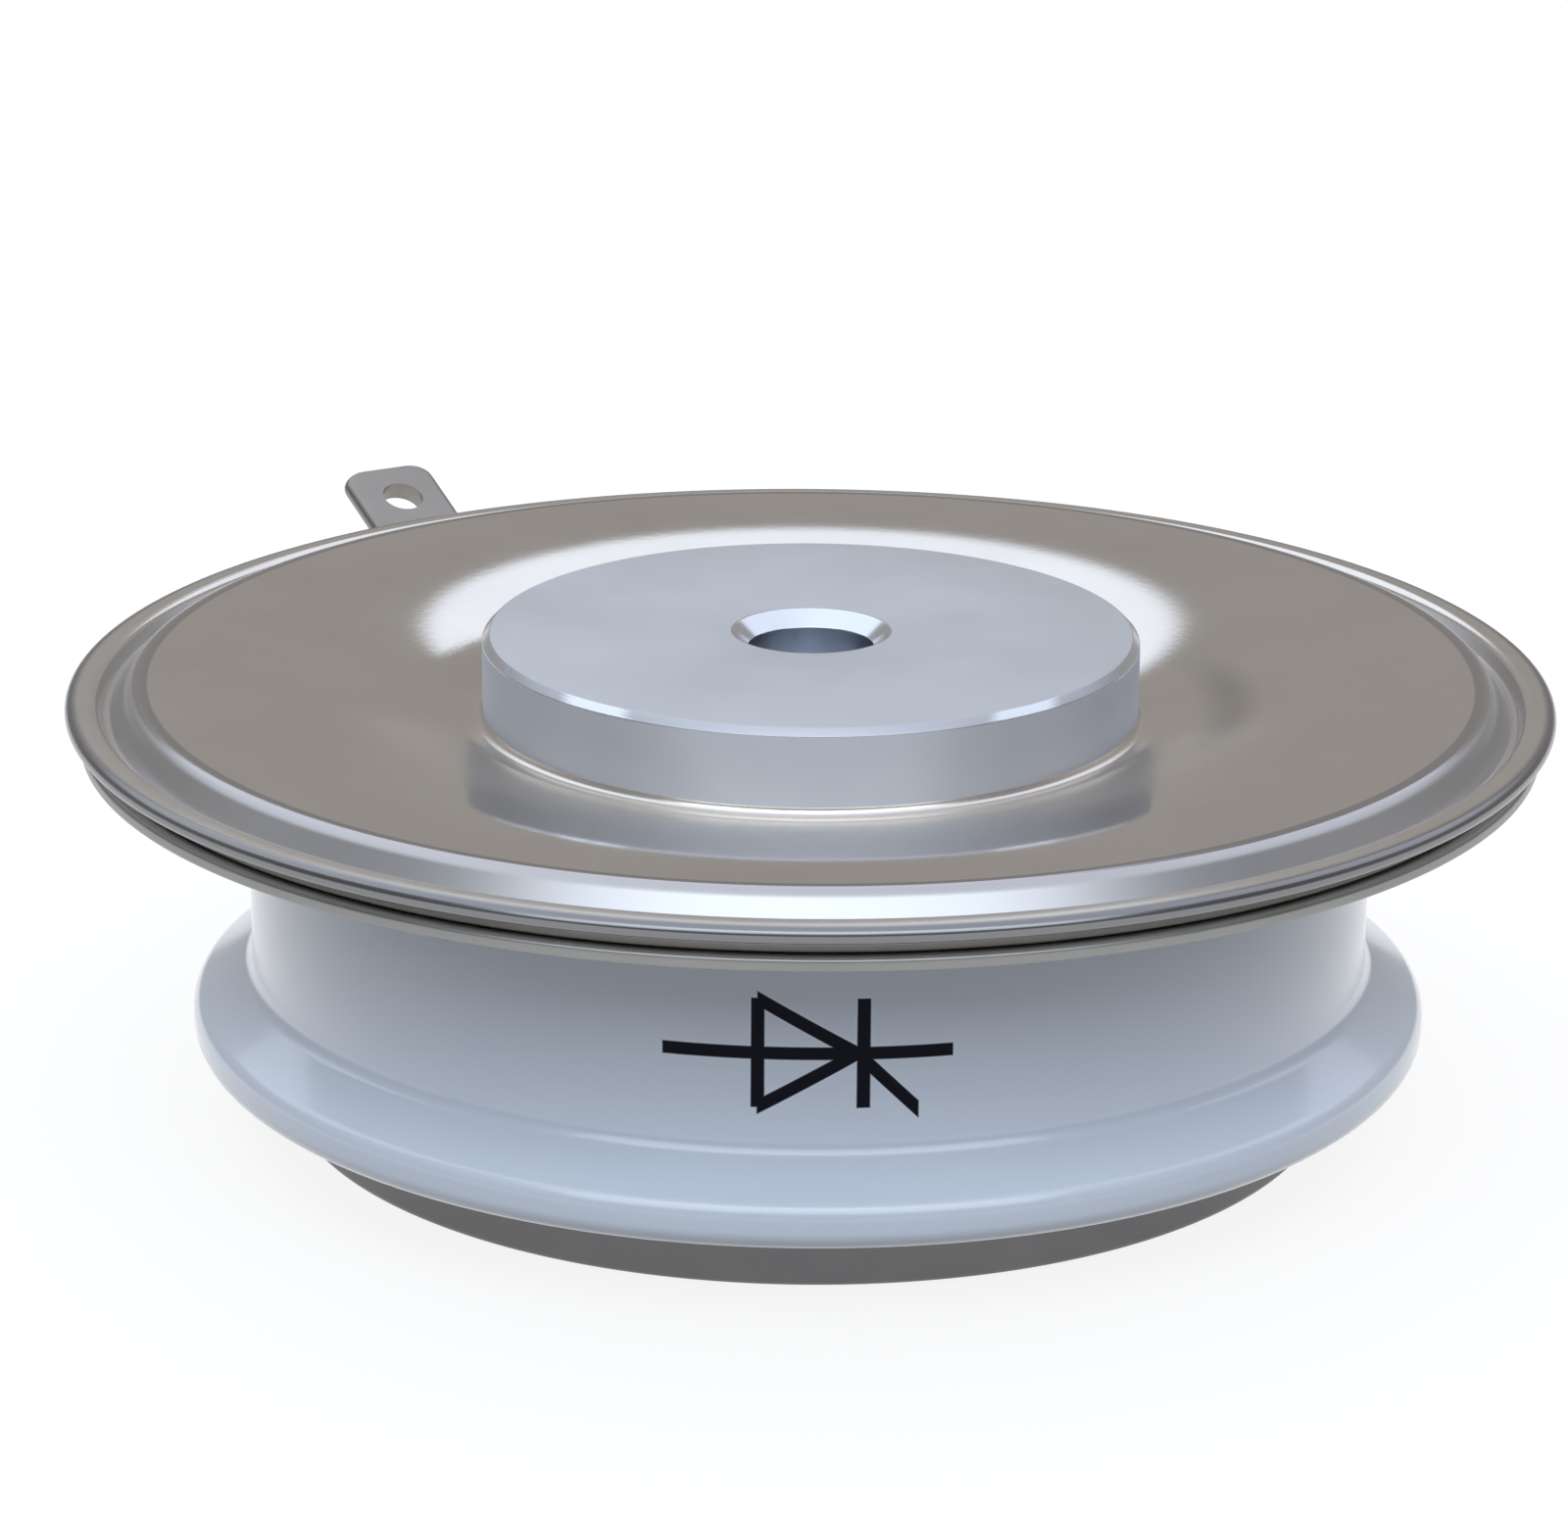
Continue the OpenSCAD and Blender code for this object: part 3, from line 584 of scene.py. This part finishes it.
def gate_terminal():
    """Gate tube: level run, bend, rising run and a pinch to the flat tab with its eyelet."""
    start, bend, bend_r, reach = BORE_R - 0.6, 18.185, 3.0, LID_R + 6
    sides, tab, eyelet_r, eyelet_in = 64, 3.0, 0.65, 0.48
    rise = math.radians(GATE_RISE)
    along = Vector((math.cos(rise), 0, math.sin(rise)))
    bend_end = Vector((bend + bend_r * math.sin(rise), 0, GATE_Z + bend_r * (1 - math.cos(rise))))
    rising = (reach - bend_end.x) / math.cos(rise)
    bpy.ops.object.select_all(action="DESELECT")
    bpy.ops.mesh.primitive_circle_add(vertices=sides, radius=TUBE_R * MM)
    piece = bpy.context.object
    piece.name = "gate_terminal"
    laid(piece, [("Z", 180 / sides), ("Y", 90), Vector((start, 0, GATE_Z))])
    bpy.ops.object.mode_set(mode="EDIT")
    bpy.ops.mesh.select_all(action="SELECT")
    level = Vector((bend - start, 0, 0)) * MM
    bpy.ops.mesh.extrude_region_move(TRANSFORM_OT_translate={"value": level})
    centre = Vector((bend, 0, GATE_Z + bend_r)) * MM
    bpy.ops.mesh.spin(steps=12, angle=rise, center=centre, axis=(0, 1, 0))
    done, last_b, last_w = 0, TUBE_R, TUBE_R
    for place, b, w in gate_stations(rising, tab):
        step = along * (place - done) * MM
        bpy.ops.mesh.extrude_region_move(TRANSFORM_OT_translate={"value": step})
        if b != last_b:
            middle = (bend_end + along * place) * MM
            bpy.ops.transform.resize(value=(b / last_b,) * 3, center_override=middle)
        shift = (w - b) - (last_w - last_b) * b / last_b
        if shift:
            side_of(1, shift)
            side_of(-1, shift)
        done, last_b, last_w = place, b, w
    bpy.ops.mesh.select_all(action="SELECT")
    bpy.ops.mesh.fill_holes(sides=0)
    bpy.ops.mesh.select_all(action="SELECT")
    bpy.ops.mesh.normals_make_consistent(inside=False)
    bpy.ops.object.mode_set(mode="OBJECT")
    laid(piece, [("Z", GATE_TURN)])
    eyelet = bend_end + along * (rising - tab * eyelet_in)
    cut(piece, rod("eyelet", eyelet_r, -2, 4, [("Y", -GATE_RISE), eyelet, ("Z", GATE_TURN)]))
    finished(piece, "gate_tube", GATE)


lid()
upper_pole()
weld_ring()
insulator()
lower_flange()
ferrule()
gate_terminal()

SILVER = plain_finish("silver_foil", (0.84, 0.83, 0.80), (0.92, 0.91, 0.88), 1.0, 0.2)
MOLY = plain_finish("molybdenum", (0.40, 0.40, 0.42), (0.50, 0.50, 0.52), 1.0, 0.36)
STEEL = plain_finish("spring_steel", (0.42, 0.42, 0.43), (0.52, 0.52, 0.53), 1.0, 0.28)
SILICON = plain_finish("silicon", (0.14, 0.15, 0.18), (0.20, 0.21, 0.25), 0.7, 0.12)
SILICONE = plain_finish("silicone_bead", (0.64, 0.28, 0.21), (0.74, 0.36, 0.27), 0.0, 0.45)
PLASTIC = plain_finish("white_plastic", (0.78, 0.78, 0.76), (0.86, 0.86, 0.84), 0.0, 0.45)
DRESSED = [
    (POLE, ["anode_pole"]),
    (SILVER, ["anode_foil", "cathode_foil", "gate_lead"]),
    (MOLY, ["anode_disc", "cathode_disc"]),
    (STEEL, ["gate_spring_lower", "gate_spring_upper", "gate_washer"]),
    (PLASTIC, ["locating_ring", "gate_sleeve", "gate_cup"]),
    (SILICON, ["silicon_wafer"]),
    (SILICONE, ["wafer_seal"]),
    (GATE, ["gate_contact"]),
]
for material, names in DRESSED:
    for name in names:
        dress(name, material)


def camera():
    """The view of the photo: a long lens from a little above the rim, with a slight roll."""
    aim_z, back, up, roll = 8.102, 149.037, 58.351, 0.475
    eye = bpy.data.cameras.new("view")
    eye.sensor_width = 36.0
    eye.lens = 126.16
    eye.shift_x = -0.01628
    eye.shift_y = 0.04455
    holder = bpy.data.objects.new("view", eye)
    bpy.context.scene.collection.objects.link(holder)
    target = Vector((0, 0, aim_z)) * MM
    place = Vector((0, -back, up)) * MM
    turn = (target - place).to_track_quat("-Z", "Y").to_matrix().to_4x4()
    tilt = Matrix.Rotation(math.radians(roll), 4, "Z")
    holder.matrix_world = Matrix.Translation(place) @ turn @ tilt
    eye.clip_start = 0.01
    eye.clip_end = 10.0
    bpy.context.scene.camera = holder


def surroundings():
    """A plain room: bright above a warm wall, 29 degrees high behind, and a cool one, 47 in front."""
    front_edge, back_drop, dip, soft = 0.74, 0.255, 0.055, 0.018
    world = bpy.data.worlds.new("room")
    bpy.context.scene.world = world
    world.use_nodes = True
    room = Finish(world.node_tree)
    way = room.node("ShaderNodeTexCoord")
    x = room.node("ShaderNodeSeparateXYZ", {}, {0: way})
    y, z = (Wire(room, output) for output in list(x.socket.node.outputs)[1:])
    behind = room.between(y, -0.2, 0.5)
    # The edge behind sinks a little to both sides, and beside the middle one strip of it stands higher.
    aside = room.maths("MINIMUM", room.maths("MAXIMUM", x * 0.65, x * -0.25), dip)
    strip = room.between(x, 0.085, 0.12) * (1 - room.between(x, 0.2, 0.28))
    edge = front_edge - behind * (aside - strip * 0.2 + back_drop)
    above = room.between(z - edge, -soft, soft)
    patch = room.noise(way, 2.2, 2.0)
    back = room.mix(patch, (0.33, 0.312, 0.297), (0.41, 0.394, 0.379))
    wall = room.mix(room.between(y, -0.3, 0.3), (0.25, 0.25, 0.265), back)
    sky = room.mix(room.between(x, -0.5, 0.5), (1.16, 1.25, 1.36), (1.05, 1.10, 1.22))
    shown = room.mix(above, wall, sky)
    background = world.node_tree.nodes["Background"]
    world.node_tree.links.new(shown.socket, background.inputs["Color"])


def table_top():
    """Pale floor, just below the contact face, that runs to white and keeps the part's shadow."""
    gap = 0.02 * MM
    bpy.ops.object.select_all(action="DESELECT")
    bpy.ops.mesh.primitive_plane_add(size=3.0, location=(0, 0, -gap))
    floor = bpy.context.object
    floor.name = "floor"
    finish = Material("floor_white")
    path = finish.node("ShaderNodeLightPath")
    rays = path.socket.node.outputs
    seen = sum(Wire(finish, rays[name]) for name in (
        "Is Camera Ray", "Is Glossy Ray", "Is Transmission Ray"))
    glow = finish.mix(seen, (0.0, 0.0, 0.0), (0.87, 0.87, 0.87))
    finish.set(Base_Color=(0.12, 0.12, 0.122, 1.0), Roughness=0.9)
    finish.set(Emission_Color=glow, Emission_Strength=1.0)
    floor.data.materials.append(finish.material)


def lamp(name, place, width, height, power, colour):
    """Soft panel lamp that looks at the part."""
    light = bpy.data.lights.new(name, "AREA")
    light.shape = "RECTANGLE"
    light.size = width
    light.size_y = height
    light.energy = power
    light.color = colour
    holder = bpy.data.objects.new(name, light)
    bpy.context.scene.collection.objects.link(holder)
    holder.location = place
    holder.rotation_mode = "QUATERNION"
    holder.rotation_quaternion = (-Vector(place)).to_track_quat("-Z", "Y")


camera()
surroundings()
table_top()
lamp("front_panel", (0.0, -0.49, 0.49), 1.1, 0.4, 2.9, (0.82, 0.91, 1.0))

bpy.context.scene.view_settings.view_transform = "Standard"
